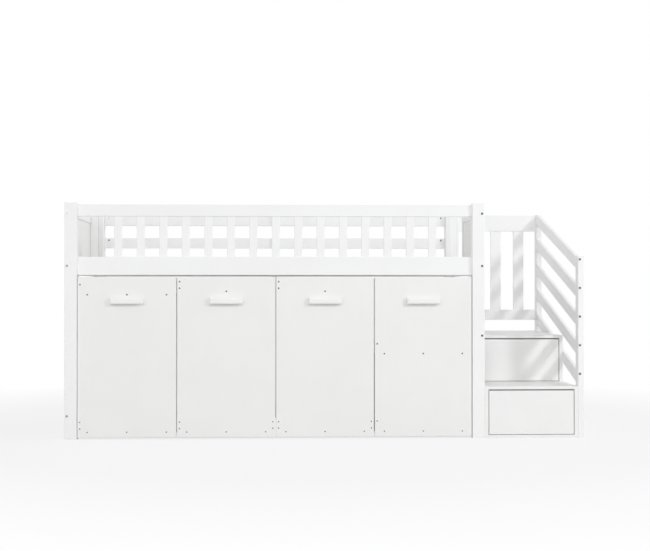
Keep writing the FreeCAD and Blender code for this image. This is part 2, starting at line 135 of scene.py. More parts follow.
def makeGrain():
    look = grainLook
    group, given, result = newGroup(
        "timberGrain",
        [
            ("Vector", "NodeSocketVector", None),
            ("Ring Spacing", "NodeSocketFloat", look["ringSpacing"]),
            ("Fibre Spacing", "NodeSocketFloat", look["fibreSpacing"]),
            ("Wander", "NodeSocketFloat", look["wander"]),
        ],
        ["Rings", "Fibre", "Streak"],
    )
    sway = noiseNode(group, given["Vector"], look["swayScale"], 2.0)
    centred = vectorNode(group, "SUBTRACT", {0: sway["Color"], 1: (0.5, 0.5, 0.5)})
    moved = vectorNode(group, "SCALE", {0: centred[0], "Scale": given["Wander"]})
    bent = vectorNode(group, "ADD", {0: given["Vector"], 1: moved[0]})[0]
    apart = addNode(group, "ShaderNodeSeparateXYZ", {0: bent}).outputs
    fromPith = [mathNode(group, "ADD", apart[axis], look["pith"][axis]) for axis in (0, 1)]
    squares = [mathNode(group, "MULTIPLY", away, away) for away in fromPith]
    radius = mathNode(group, "SQRT", mathNode(group, "ADD", *squares))
    year = mathNode(group, "FRACT", mathNode(group, "DIVIDE", radius, given["Ring Spacing"]))
    late = mathNode(group, "POWER", year, look["lateCurve"])
    fall = spread(group, year, (0.0, look["earlyFall"]), (1.0, 0.0))  # just after each late-wood line
    early = mathNode(group, "MULTIPLY", fall, look["earlyShare"])
    fine = mathNode(group, "DIVIDE", 1.0, given["Fibre Spacing"])
    group.links.new(mathNode(group, "MAXIMUM", late, early), result["Rings"])
    group.links.new(noiseNode(group, bent, fine, 3.0)[0], result["Fibre"])
    group.links.new(noiseNode(group, bent, look["streakScale"], 2.0)[0], result["Streak"])
    return group


# paint film: a fine stipple, slow clouds of tone and rare nibs of dust
filmLook = {"stippleSize": 0.0028, "cloudSize": 0.22, "nibScale": 55.0, "nibReach": (0.03, 0.06)}


def makeFilm():
    look = filmLook
    group, given, result = newGroup(
        "paintFilm",
        [
            ("Vector", "NodeSocketVector", None),
            ("Stipple Size", "NodeSocketFloat", look["stippleSize"]),
            ("Cloud Size", "NodeSocketFloat", look["cloudSize"]),
        ],
        ["Stipple", "Cloud", "Nibs"],
    )
    fine = mathNode(group, "DIVIDE", 1.0, given["Stipple Size"])
    slow = mathNode(group, "DIVIDE", 1.0, given["Cloud Size"])
    dust = addNode(group, "ShaderNodeTexVoronoi", {"Vector": given["Vector"], "Scale": look["nibScale"]})
    nibs = spread(group, dust.outputs["Distance"], look["nibReach"], (1.0, 0.0))
    group.links.new(noiseNode(group, given["Vector"], fine, 2.0)[0], result["Stipple"])
    group.links.new(noiseNode(group, given["Vector"], slow, 3.0)[0], result["Cloud"])
    group.links.new(nibs, result["Nibs"])
    return group


# edge wear: one where two faces meet within the radius, fading to nothing on the flat
edgeLook = {"radius": 0.003, "samples": 4, "agreement": (0.98, 0.75)}


def makeEdges():
    look = edgeLook
    group, given, result = newGroup("edgeWear", [("Radius", "NodeSocketFloat", look["radius"])], ["Edge"])
    rounded = addNode(group, "ShaderNodeBevel", {"Radius": given["Radius"]}, samples=look["samples"])
    plain = addNode(group, "ShaderNodeNewGeometry")
    agree = vectorNode(group, "DOT_PRODUCT", {0: rounded.outputs[0], 1: plain.outputs["Normal"]})
    group.links.new(spread(group, agree["Value"], look["agreement"], (0.0, 1.0)), result["Edge"])
    return group


shared = {"grain": makeGrain(), "film": makeFilm(), "edges": makeEdges()}
print("shader groups ready")


def newMaterial(name):
    material = bpy.data.materials.new(name)
    tree = emptyTree(material)
    shader = tree.nodes.new("ShaderNodeBsdfPrincipled")
    output = tree.nodes.new("ShaderNodeOutputMaterial")
    tree.links.new(shader.outputs[0], output.inputs["Surface"])
    return material, tree, shader


def placeGroup(tree, which, values):
    return addNode(tree, "ShaderNodeGroup", values, node_tree=shared[which]).outputs


def plainVector(tree):
    return addNode(tree, "ShaderNodeTexCoord").outputs["Object"]


alongTurn = {"x": (0.0, -math.pi / 2, 0.0), "y": (math.pi / 2, 0.0, 0.0), "z": (0.0, 0.0, 0.0)}


def boardVector(tree, along, squeeze):
    # object coordinates turned so that Z runs along the board, and squeezed along it
    turned = addNode(
        tree, "ShaderNodeMapping", {"Vector": plainVector(tree), "Rotation": alongTurn[along]}
    )
    squeezed = addNode(
        tree, "ShaderNodeMapping", {"Vector": turned.outputs[0], "Scale": (1.0, 1.0, squeeze)}
    )
    return squeezed.outputs[0]


def stackBumps(tree, shader, layers):
    # each layer is a height, a strength and the real depth of the relief
    normal = None
    for height, strength, depth in layers:
        values = {"Height": height, "Strength": strength, "Distance": depth}
        if normal is not None:
            values["Normal"] = normal
        normal = addNode(tree, "ShaderNodeBump", values).outputs[0]
    tree.links.new(normal, shader.inputs["Normal"])


# satin paint: on timber the grain telegraphs through, on board only the roller's stipple shows
paints = {
    "framePaint": {
        "white": (0.925, 0.928, 0.929, 1.0),
        "shade": (0.895, 0.897, 0.896, 1.0),
        "edge": (0.94, 0.942, 0.942, 1.0),
        "grain": 0.55,
        "gloss": (0.36, 0.5),
        "stipple": 0.0026,
        "peel": 0.16,
    },
    "panelPaint": {
        "white": (0.893, 0.896, 0.889, 1.0),
        "shade": (0.868, 0.87, 0.862, 1.0),
        "edge": (0.915, 0.915, 0.911, 1.0),
        "grain": 0.12,
        "gloss": (0.42, 0.54),
        "stipple": 0.0034,
        "peel": 0.16,
    },
    # the board paint made darker and warmer for the end panels: a painted shade standing in for the shadow
    # on their inner faces
    "endPaint": {
        "white": (0.857, 0.862, 0.835, 1.0),
        "shade": (0.833, 0.837, 0.81, 1.0),
        "edge": (0.885, 0.888, 0.868, 1.0),
        "grain": 0.12,
        "gloss": (0.42, 0.54),
        "stipple": 0.0034,
        "peel": 0.16,
    },
    "cabinetPaint": {
        "white": (0.886, 0.887, 0.879, 1.0),
        "shade": (0.862, 0.862, 0.853, 1.0),
        "edge": (0.91, 0.91, 0.905, 1.0),
        "grain": 0.12,
        "gloss": (0.42, 0.54),
        "stipple": 0.0034,
        "peel": 0.16,
    },
    "pullLacquer": {
        "white": (0.915, 0.915, 0.91, 1.0),
        "shade": (0.89, 0.89, 0.884, 1.0),
        "edge": (0.93, 0.93, 0.925, 1.0),
        "grain": 0.05,
        "gloss": (0.26, 0.36),
        "stipple": 0.0018,
        "peel": 0.05,
    },
    "rodPaint": {
        "white": (0.85, 0.85, 0.84, 1.0),
        "shade": (0.8, 0.8, 0.785, 1.0),
        "edge": (0.86, 0.86, 0.85, 1.0),
        "grain": 0.4,
        "gloss": (0.34, 0.46),
        "stipple": 0.002,
        "peel": 0.16,
    },
    "drawerBoard": {
        "white": (0.82, 0.812, 0.795, 1.0),
        "shade": (0.775, 0.765, 0.745, 1.0),
        "edge": (0.84, 0.832, 0.815, 1.0),
        "grain": 0.3,
        "gloss": (0.46, 0.6),
        "stipple": 0.0016,
        "peel": 0.16,
    },
}

# what all the paints share
coat = {
    "grainSqueeze": 0.035,
    "edgeRadius": 0.0025,
    "edgeShare": 0.5,
    "veinShare": 0.35,
    "cloudRange": (0.35, 0.7),
    "cloudShare": 0.75,
    "sheenShares": (0.6, 0.4),
    "sheenRange": (0.3, 0.7),
    "ringSink": -0.5,
    "grainShare": 0.5,
    "nibShare": 0.75,
    "grainDepth": 0.0006,
    "stippleDepth": 0.0005,
    "nibDepth": 0.0003,
    "specular": 0.45,
    "clearWeight": 0.08,
    "clearRoughness": 0.22,
}


def paintMaterial(finish, along):
    look = paints[finish]
    material, tree, shader = newMaterial(f"{finish}_{along}")
    grain = placeGroup(tree, "grain", {"Vector": boardVector(tree, along, coat["grainSqueeze"])})
    film = placeGroup(tree, "film", {"Vector": plainVector(tree), "Stipple Size": look["stipple"]})
    edge = placeGroup(tree, "edges", {"Radius": coat["edgeRadius"]})["Edge"]
    veins = mathNode(tree, "MULTIPLY", grain["Rings"], look["grain"] * coat["veinShare"])
    clouds = spread(tree, film["Cloud"], coat["cloudRange"], (0.0, coat["cloudShare"]))
    tone = mixColours(tree, mathNode(tree, "ADD", veins, clouds), look["white"], look["shade"])
    worn = mathNode(tree, "MULTIPLY", edge, coat["edgeShare"])
    tree.links.new(mixColours(tree, worn, tone, look["edge"]), shader.inputs["Base Color"])
    filmSheen = mathNode(tree, "MULTIPLY", film["Stipple"], coat["sheenShares"][0])
    grainSheen = mathNode(tree, "MULTIPLY", grain["Streak"], coat["sheenShares"][1])
    sheen = mathNode(tree, "ADD", filmSheen, grainSheen)
    tree.links.new(spread(tree, sheen, coat["sheenRange"], look["gloss"]), shader.inputs["Roughness"])
    sunk = mathNode(tree, "MULTIPLY", grain["Rings"], coat["ringSink"])
    relief = mathNode(tree, "ADD", sunk, grain["Fibre"])
    stackBumps(
        tree,
        shader,
        [
            (relief, coat["grainShare"] * look["grain"], coat["grainDepth"]),
            (film["Stipple"], look["peel"], coat["stippleDepth"]),
            (film["Nibs"], coat["nibShare"] * look["peel"], coat["nibDepth"]),
        ],
    )
    shader.inputs["Specular IOR Level"].default_value = coat["specular"]
    shader.inputs["Coat Weight"].default_value = coat["clearWeight"]
    shader.inputs["Coat Roughness"].default_value = coat["clearRoughness"]
    return material


# plated steel: a blotched sheen, a fine stipple and scuffs that catch on the edges
metals = {
    "darkZinc": {"body": (0.13, 0.13, 0.135, 1.0), "worn": (0.34, 0.34, 0.345, 1.0), "gloss": (0.3, 0.48)},
    # brightZinc and screwZinc also dress the left end's frame bolts, where their lightness is a painted
    # highlight
    "brightZinc": {"body": (0.56, 0.57, 0.58, 1.0), "worn": (0.7, 0.71, 0.72, 1.0), "gloss": (0.26, 0.42)},
    "screwZinc": {"body": (0.3, 0.3, 0.305, 1.0), "worn": (0.5, 0.5, 0.505, 1.0), "gloss": (0.3, 0.46)},
}
plating = {
    "stipple": 0.0009,
    "cloud": 0.006,
    "edgeRadius": 0.0006,
    "wearRange": (0.35, 0.65),
    "wear": (0.25, 0.9),
    "sheenRange": (0.3, 0.7),
    "relief": (0.12, 0.0002),
}


def smallFilm(tree, look):
    # the paint film's pattern at the scale of a small moulded or plated part
    values = {"Vector": plainVector(tree), "Stipple Size": look["stipple"], "Cloud Size": look["cloud"]}
    return placeGroup(tree, "film", values)


def metalMaterial(finish):
    look = metals[finish]
    material, tree, shader = newMaterial(finish)
    film = smallFilm(tree, plating)
    edge = placeGroup(tree, "edges", {"Radius": plating["edgeRadius"]})["Edge"]
    patches = spread(tree, film["Cloud"], plating["wearRange"], plating["wear"])
    worn = mathNode(tree, "MULTIPLY", edge, patches)
    tree.links.new(mixColours(tree, worn, look["body"], look["worn"]), shader.inputs["Base Color"])
    sheen = spread(tree, film["Cloud"], plating["sheenRange"], look["gloss"])
    tree.links.new(sheen, shader.inputs["Roughness"])
    shader.inputs["Metallic"].default_value = 1.0
    stackBumps(tree, shader, [(film["Stipple"], *plating["relief"])])
    return material


# moulded plastic, dusty in patches and along its edges
wheelLook = {
    "black": (0.026, 0.026, 0.028, 1.0),
    "dusty": (0.075, 0.073, 0.07, 1.0),
    "stipple": 0.0007,
    "cloud": 0.008,
    "edgeRadius": 0.001,
    "edgeShare": 0.4,
    "dustRange": (0.4, 0.75),
    "dustShare": 0.6,
    "sheenRange": (0.3, 0.7),
    "gloss": (0.42, 0.6),
    "relief": (0.2, 0.0002),
}


def wheelMaterial():
    look = wheelLook
    material, tree, shader = newMaterial("wheelPlastic")
    film = smallFilm(tree, look)
    edge = placeGroup(tree, "edges", {"Radius": look["edgeRadius"]})["Edge"]
    patches = spread(tree, film["Cloud"], look["dustRange"], (0.0, look["dustShare"]))
    dust = mathNode(tree, "ADD", patches, mathNode(tree, "MULTIPLY", edge, look["edgeShare"]))
    tree.links.new(mixColours(tree, dust, look["black"], look["dusty"]), shader.inputs["Base Color"])
    sheen = spread(tree, film["Cloud"], look["sheenRange"], look["gloss"])
    tree.links.new(sheen, shader.inputs["Roughness"])
    stackBumps(tree, shader, [(film["Stipple"], *look["relief"])])
    return material


finishes = {"wheelPlastic": wheelMaterial()}
for finish in metals:
    finishes[finish] = metalMaterial(finish)


def finishFor(name):
    if name not in finishes:
        finish, along = name.split("_")
        finishes[name] = paintMaterial(finish, along)
    return finishes[name]


# which finish each CAD node wears; the letter is the way its boards run
nodeFinish = {
    "framePaint_x": [
        "front_top_rail",
        "front_side_rail",
        "rear_guard_rails",
        "rear_side_rail",
        "slat_supports",
    ],
    "framePaint_y": [
        "left_end_rails",
        "right_end_rails",
        "stair_handrail",
        "stair_guard_bars",
        "bed_slats",
    ],
    "framePaint_z": [
        "front_left_post",
        "front_right_post",
        "rear_left_post",
        "rear_right_post",
        "front_guard_slats",
        "rear_battens",
        "end_stiles",
        "stair_front_post",
        "stair_rear_post",
        "stair_back_guard",
    ],
    "panelPaint_x": [
        "stair_bottom_board",
        "lower_tread",
        "upper_tread",
        "stair_back",
        "lower_drawer_front",
        "upper_drawer_front",
    ],
    "panelPaint_y": ["stair_left_side", "stair_right_side"],
    # the end panels wear the darker paint, a painted shade on their inner faces
    "endPaint_y": ["left_end_panel", "right_end_panel"],
    "drawerBoard_y": ["lower_drawer_box", "upper_drawer_box", "drawer_runners"],
    "darkZinc": ["frame_bolts"],
    "cabinetPaint_z": [],
    "pullLacquer_x": [],
    "rodPaint_y": ["cabinet_2_rod", "cabinet_3_rod"],
    "brightZinc": [],
    "wheelPlastic": [],
}
cabinetNames = ["cabinet_1", "cabinet_2", "cabinet_3", "cabinet_4"]
for name in cabinetNames:
    nodeFinish["cabinetPaint_z"] += [f"{name}_front", f"{name}_body"]
    nodeFinish["pullLacquer_x"].append(f"{name}_handle")
    nodeFinish["brightZinc"].append(f"{name}_casters")
    nodeFinish["wheelPlastic"] += [f"{name}_front_wheels", f"{name}_rear_wheels"]

dressed = set()
for finish, members in nodeFinish.items():
    for name in members:
        mesh = nodes[name].data
        mesh.materials.clear()
        mesh.materials.append(finishFor(finish))
        dressed.add(name)
print("materials on", len(dressed), "of", len(nodes), "nodes")


# fastener heads, drawn with unit width and height
heads = {
    "bolt": {
        "recess": "hex",
        "recessWidth": 0.46,
        "rim": 0.55,
        "crown": 0.86,
        "depth": 0.3,
        "segments": 36,
    },
    "nut": {
        "recess": "slot",
        "recessWidth": 0.2,
        "rim": 0.7,
        "crown": 0.9,
        "depth": 0.2,
        "segments": 40,
    },
    "screw": {
        "recess": "cross",
        "recessWidth": 0.17,
        "rim": 0.35,
        "crown": 0.8,
        "depth": 0.1,
        "segments": 40,
    },
}
driver = {"barReach": 0.36, "taper": 0.94}


def recessReach(kind, width, angle):
    # how far the driver recess reaches from the axis at one angle
    if kind == "hex":
        third = math.pi / 3
        return width / 2 / math.cos((angle % third) - third / 2)

    def bar(turn):
        across = width / 2 / max(abs(math.sin(angle + turn)), tiny)
        length = driver["barReach"] / max(abs(math.cos(angle + turn)), tiny)
        return min(across, length)

    if kind == "slot":
        return bar(0.0)
    return max(bar(0.0), bar(math.pi / 2))


def headTemplate(kind):
    # the seat is at the origin and the face looks towards +Z
    look = heads[kind]
    count = look["segments"]
    angles = [2 * math.pi * index / count for index in range(count)]
    bm = bmesh.new()

    def ring(height, reach):
        verts = []
        for angle in angles:
            out = reach(angle)
            verts.append(bm.verts.new((out * math.cos(angle), out * math.sin(angle), height)))
        return verts

    def recess(angle):
        return recessReach(look["recess"], look["recessWidth"], angle)

    rings = [
        ring(0.0, lambda angle: 0.5),
        ring(look["rim"], lambda angle: 0.5),
        ring(1.0, lambda angle: look["crown"] / 2),
        ring(1.0, recess),
        ring(look["depth"], lambda angle: recess(angle) * driver["taper"]),
    ]
    bm.faces.new(reversed(rings[0]))
    for lower, upper in zip(rings, rings[1:]):
        for index in range(count):
            after = (index + 1) % count
            bm.faces.new((lower[index], lower[after], upper[after], upper[index]))
    bm.faces.new(rings[-1])
    mesh = bpy.data.meshes.new(f"{kind}Head")
    bm.to_mesh(mesh)
    bm.free()
    return bpy.data.objects.new(f"{kind}Head", mesh)


scatterSeed = 7


def scatterTree(kind):
    # sets one piece on every point, facing along the point's own direction; Spin 1 turns each by chance
    tree = bpy.data.node_groups.new(f"{kind}Scatter", "GeometryNodeTree")
    sockets = {}
    for label, socketType in (
        ("Geometry", "NodeSocketGeometry"),
        ("Head", "NodeSocketObject"),
        ("Width", "NodeSocketFloat"),
        ("Height", "NodeSocketFloat"),
        ("Spin", "NodeSocketFloat"),
        ("Finish", "NodeSocketMaterial"),
    ):
        socket = tree.interface.new_socket(label, in_out="INPUT", socket_type=socketType)
        sockets[label] = socket.identifier
    tree.interface.new_socket("Geometry", in_out="OUTPUT", socket_type="NodeSocketGeometry")
    given = tree.nodes.new("NodeGroupInput").outputs
    facing = addNode(
        tree, "GeometryNodeInputNamedAttribute", {"Name": "facing"}, data_type="FLOAT_VECTOR"
    )
    aim = addNode(tree, "FunctionNodeAlignRotationToVector", {"Vector": facing.outputs[0]}, axis="Z")
    chance = addNode(tree, "FunctionNodeRandomValue", {"Seed": scatterSeed}, data_type="FLOAT")
    fullTurn = mathNode(tree, "MULTIPLY", chance.outputs[1], 2 * math.pi)
    angle = mathNode(tree, "MULTIPLY", fullTurn, given["Spin"])
    spin = addNode(tree, "FunctionNodeAxisAngleToRotation", {"Axis": (0.0, 0.0, 1.0), "Angle": angle})
    turn = addNode(
        tree,
        "FunctionNodeRotateRotation",
        {"Rotation": aim.outputs[0], "Rotate By": spin.outputs[0]},
        rotation_space="LOCAL",
    )
    size = addNode(
        tree, "ShaderNodeCombineXYZ", {0: given["Width"], 1: given["Width"], 2: given["Height"]}
    )
    info = addNode(tree, "GeometryNodeObjectInfo", {"Object": given["Head"]})
    points = addNode(tree, "GeometryNodeMeshToPoints", {"Mesh": given["Geometry"]})
    placed = addNode(
        tree,
        "GeometryNodeInstanceOnPoints",
        {
            "Points": points.outputs[0],
            "Instance": info.outputs["Geometry"],
            "Rotation": turn.outputs[0],
            "Scale": size.outputs[0],
        },
    )
    real = addNode(tree, "GeometryNodeRealizeInstances", {"Geometry": placed.outputs[0]})
    finished = addNode(
        tree, "GeometryNodeSetMaterial", {"Geometry": real.outputs[0], "Material": given["Finish"]}
    )
    leave = tree.nodes.new("NodeGroupOutput")
    tree.links.new(finished.outputs[0], leave.inputs[0])
    return tree, sockets


templates = {kind: headTemplate(kind) for kind in heads}
scatter, scatterSockets = scatterTree("fastener")


def scatterPieces(name, kind, places, width, height, finish, spin=1.0):
    # places holds (position, direction) pairs; the result is one plain mesh at the origin
    mesh = bpy.data.meshes.new(name)
    mesh.from_pydata([tuple(position) for position, direction in places], [], [])
    facing = mesh.attributes.new("facing", "FLOAT_VECTOR", "POINT")
    for index, (position, direction) in enumerate(places):
        facing.data[index].vector = direction
    holder = putInScene(name, mesh)
    modifier = holder.modifiers.new("scatter", "NODES")
    modifier.node_group = scatter
    for label, value in (
        ("Head", templates[kind]),
        ("Width", width),
        ("Height", height),
        ("Spin", spin),
        ("Finish", finishFor(finish)),
    ):
        modifier[scatterSockets[label]] = value
    bpy.context.view_layer.update()
    evaluated = holder.evaluated_get(bpy.context.evaluated_depsgraph_get())
    made = bpy.data.meshes.new_from_object(evaluated)
    made.name = name
    holder.modifiers.clear()
    holder.data = made
    bpy.data.meshes.remove(mesh)
    return holder


def joined(name, pieces):
    bm = bmesh.new()
    materials = []
    for piece in pieces:
        for material in piece.data.materials:
            if material not in materials:
                materials.append(material)
        start = len(bm.faces)
        bm.from_mesh(piece.data)
        bm.faces.ensure_lookup_table()
        for face in bm.faces[start:]:
            face.material_index = materials.index(piece.data.materials[face.material_index])
    mesh = bpy.data.meshes.new(name)
    bm.to_mesh(mesh)
    bm.free()
    for material in materials:
        mesh.materials.append(material)
    for piece in pieces:
        bpy.data.objects.remove(piece)
    return putInScene(name, mesh)


# frame bolts: socket heads outside the posts, slotted barrel nuts inside the rails
frameBolts = {
    "headWidth": 0.0112,
    "headHeight": 0.002,
    "nutWidth": 0.0088,
    "nutHeight": 0.0006,
    "nutSetback": 0.024,
    "packing": 0.015,
    "railDrop": 0.012,
    "endRise": 0.015,
    "barCount": 5,
    "barPitch": 0.1395,
    "barOffset": 0.013,
    # the left end's heads get lighter finishes, a painted highlight; the right ones show the bolts' own
    # dark zinc
    "leftHighlightFinishes": ["brightZinc", "screwZinc", "screwZinc"],
    "rightFinishes": ["darkZinc", "darkZinc", "darkZinc"],
}


def boltPlaces():
    # heads and nuts by finish: bright at the upper left and greyer down the left post, painted highlights
    # on the same bolts, elsewhere dark
    bolts = {"darkZinc": [], "brightZinc": [], "screwZinc": []}
    nuts = {"darkZinc": [], "brightZinc": []}
    look = frameBolts
    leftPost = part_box("front_left_post")
    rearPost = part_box("rear_right_post")
    left, right = leftPost[0].x, rearPost[1].x
    front, rear = leftPost[0].y, rearPost[1].y
    side = leftPost[1].x - leftPost[0].x
    setback = look["nutSetback"]
    topRail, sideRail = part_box("front_top_rail"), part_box("front_side_rail")
    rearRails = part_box("rear_guard_rails")
    railHeight = topRail[1].z - topRail[0].z
    frontTops = (topRail[1].z, sideRail[1].z)
    rearTops = (topRail[1].z, rearRails[0].z + railHeight, sideRail[1].z)
    rows = [
        (front + side / 2, topRail[1].y, 1, frontTops, 0.0),
        (rear - side / 2, rearRails[0].y, -1, rearTops, look["packing"]),
    ]
    for y, nutFace, inward, tops, pack in rows:
        for top in tops:
            z = top - look["railDrop"]
            # nuts under the top rail on the left get the bright finish, a painted highlight
            finish = "brightZinc" if top == topRail[1].z else "darkZinc"
            bolts["darkZinc"].append(((left, y, z), (-1, 0, 0)))
            bolts["darkZinc"].append(((right + pack, y, z), (1, 0, 0)))
            nuts[finish].append(((left + side + setback, nutFace, z), (0, inward, 0)))
            nuts["darkZinc"].append(((right - side - setback, nutFace, z), (0, inward, 0)))
    leftRails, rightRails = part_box("left_end_rails"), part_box("right_end_rails")
    sideZ = (sideRail[0].z + sideRail[1].z) / 2
    topZ = topRail[0].z + look["endRise"]
    leftX = (leftRails[0].x + leftRails[1].x) / 2
    rightX = (rightRails[0].x + rightRails[1].x) / 2
    leftSpots = [(leftX, topZ), (leftX, sideZ), (leftX, leftRails[0].z + railHeight / 2)]
    rightSpots = [(rightX, topZ), (rightX, sideZ), (rightX, rightRails[0].z + railHeight / 2)]
    # the lighter finishes on the left heads are painted highlights
    endFinishes = look["leftHighlightFinishes"] + look["rightFinishes"]
    for finish, (x, z) in zip(endFinishes, leftSpots + rightSpots):
        bolts[finish].append(((x, front, z), (0, -1, 0)))
        if (x, z) != rightSpots[0]:  # the short right top rail doesn't reach the rear post
            bolts["darkZinc"].append(((x, rear, z), (0, 1, 0)))
    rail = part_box("stair_handrail")
    newel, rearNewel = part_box("stair_front_post"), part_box("stair_rear_post")
    barX = (rail[0].x + rail[1].x) / 2
    rise = rearNewel[1].z - newel[1].z
    plumb = rail[1].z - rail[0].z - rise
    for index in range(look["barCount"]):
        middle = newel[1].z - index * look["barPitch"] - plumb / 2
        frontZ = middle + look["barOffset"]
        rearZ = middle + rise - look["barOffset"]
        bolts["darkZinc"].append(((barX, newel[0].y, frontZ), (0, -1, 0)))
        bolts["darkZinc"].append(((barX, rearNewel[1].y, rearZ), (0, 1, 0)))
    return bolts, nuts


boltSpots, nutSpots = boltPlaces()
fastenings = []
for kind, spots, width, height in (
    ("bolt", boltSpots, frameBolts["headWidth"], frameBolts["headHeight"]),
    ("nut", nutSpots, frameBolts["nutWidth"], frameBolts["nutHeight"]),
):
    for finish, places in spots.items():
        fastenings.append(scatterPieces(f"{kind}s_{finish}", kind, places, width, height, finish))
fastenings = joined("frame_fastenings", fastenings)
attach(fastenings, "bed_frame")
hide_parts("frame_bolts")
print("frame bolts and barrel nuts:", len(fastenings.data.polygons), "faces")


# cabinet screws: through the front and back panels into the boards behind them
cabinetScrews = {
    "lowWidth": 0.0065,
    "highWidth": 0.0081,
    "lowRows": 0.1,
    "height": 0.0005,
    "edgeInset": 0.012,
    "rowInset": 0.047,
    "baseRow": 0.0345,
    "lowGuard": (0.0515, 0.0825),
    "topGuard": (0.7275, 0.7595),
    "binShelf": 0.6965,
    "binGuard": 0.745,
    "rod": 0.713,
    "bookShelf": 0.4105,
    "bookGuards": (0.0845, 0.4585),
}


def cabinetPattern(name):
    # (inset, height) pairs: from the left edge, from the right one if below zero, None in the middle
    look = cabinetScrews
    left, middle, right = look["edgeInset"], None, -look["edgeInset"]
    row = (look["rowInset"], middle, -look["rowInset"])
    spots = [(x, look["baseRow"]) for x in row]
    if name == "cabinet_1":
        spots += [(x, look["binShelf"]) for x in row]
        spots += [(left, z) for z in look["lowGuard"] + (look["binGuard"],)]
    elif name == "cabinet_4":
        spots += [(x, look["bookShelf"]) for x in row]
        spots += [(left, z) for z in look["bookGuards"]]
    else:
        spots += [(left, z) for z in look["lowGuard"] + look["topGuard"]]
        spots += [(right, z) for z in look["lowGuard"]]
        spots.append((middle, look["rod"]))
    return spots


for name in cabinetNames:
    low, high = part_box(f"{name}_front")
    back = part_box(f"{name}_body")[1].y
    places = {"lowWidth": [], "highWidth": []}
    for inset, z in cabinetPattern(name):
        if inset is None:
            x = (low.x + high.x) / 2
        else:
            x = low.x + inset if inset > 0 else high.x + inset
        size = "lowWidth" if z < cabinetScrews["lowRows"] else "highWidth"
        places[size].append(((x, low.y, z), (0, -1, 0)))
        places[size].append(((x, back, z), (0, 1, 0)))
    rows = []
    for size, spots in places.items():
        rows.append(
            scatterPieces(
                f"{name}_{size}", "screw", spots, cabinetScrews[size], cabinetScrews["height"], "darkZinc"
            )
        )
    screws = joined(f"{name}_screws", rows)
    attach(screws, name)
    print(name, "screws:", sum(len(spots) for spots in places.values()))


# casters: turned rollers with dished sides, in stamped brackets screwed under the base board
casters = {
    "wheelWidth": 0.012,
    "wheelSize": 0.023,
    "segments": 40,
    "bore": (0.0892, 0.5),  # from here to the tread: shares of the wheel's size and width
    "hub": [(0.165, 0.5), (0.18, 0.47), (0.2, 0.36)],
    "web": [(0.385, 0.34), (0.405, 0.43), (0.42, 0.45)],
    "tread": [(0.445, 0.45), (0.468, 0.43), (0.487, 0.38), (0.497, 0.31), (0.5, 0.22)],
    "cheekInner": 0.0066,
    "cheekDrop": 0.006,
    "sheet": 0.0016,
    "halfLength": 0.013,
    "eye": 0.005,
    "eyeArc": (200.0, 340.0),
    "eyeSteps": 20,
    "rise": 0.0155,
    "plateReach": 0.0185,
    "plateCorner": 0.004,
    "cornerSteps": 5,
    "pinRadius": 0.00198,
    "pinSegments": 24,
    "rivetRadius": 0.0033,
    "rivetRise": 0.0011,
    "rivetTip": 0.0001,
    "rivetCrown": [(0.6, 0.9), (0.9, 0.5)],
    "screwReach": 0.0135,
    "screwWidth": 0.0062,
    "screwHeight": 0.0012,
}


def lathe(bm, profile, segments, toPoint):
    # turns a closed outline of (radius, along) pairs about the axis that toPoint lays out
    rings = []
    for index in range(segments):
        turn = 2 * math.pi * index / segments
        ring = []
        for radius, along in profile:
            ring.append(bm.verts.new(toPoint(radius * math.cos(turn), radius * math.sin(turn), along)))
        rings.append(ring)
    for index, ring in enumerate(rings):
        after = rings[(index + 1) % segments]
        for spot in range(len(profile)):
            follow = (spot + 1) % len(profile)
            bm.faces.new((ring[spot], after[spot], after[follow], ring[follow]))


def prism(bm, outline, toPoint, low, high):
    # a flat plate of the outline's form between two levels
    lower = [bm.verts.new(toPoint(u, v, low)) for u, v in outline]
    upper = [bm.verts.new(toPoint(u, v, high)) for u, v in outline]
    bm.faces.new(lower)
    bm.faces.new(reversed(upper))
    for index in range(len(outline)):
        after = (index + 1) % len(outline)
        bm.faces.new((lower[after], lower[index], upper[index], upper[after]))


def finishTemplate(bm, name):
    bmesh.ops.recalc_face_normals(bm, faces=bm.faces)
    mesh = bpy.data.meshes.new(name)
    bm.to_mesh(mesh)
    bm.free()
    return bpy.data.objects.new(name, mesh)


def mirrored(half):
    # an outline's other half, across the middle of the axis
    return half + [(radius, -along) for radius, along in reversed(half)]


def rollerTemplate():
    # unit size and width about the origin, its axis along Z
    half = [casters["bore"]] + casters["hub"] + casters["web"] + casters["tread"]
    bm = bmesh.new()
    lathe(bm, mirrored(half), casters["segments"], lambda x, y, z: (x, y, z))
    return finishTemplate(bm, "rollerTemplate")


def arcTurns(start, end, steps):
    return [math.radians(start + (end - start) * step / steps) for step in range(steps + 1)]


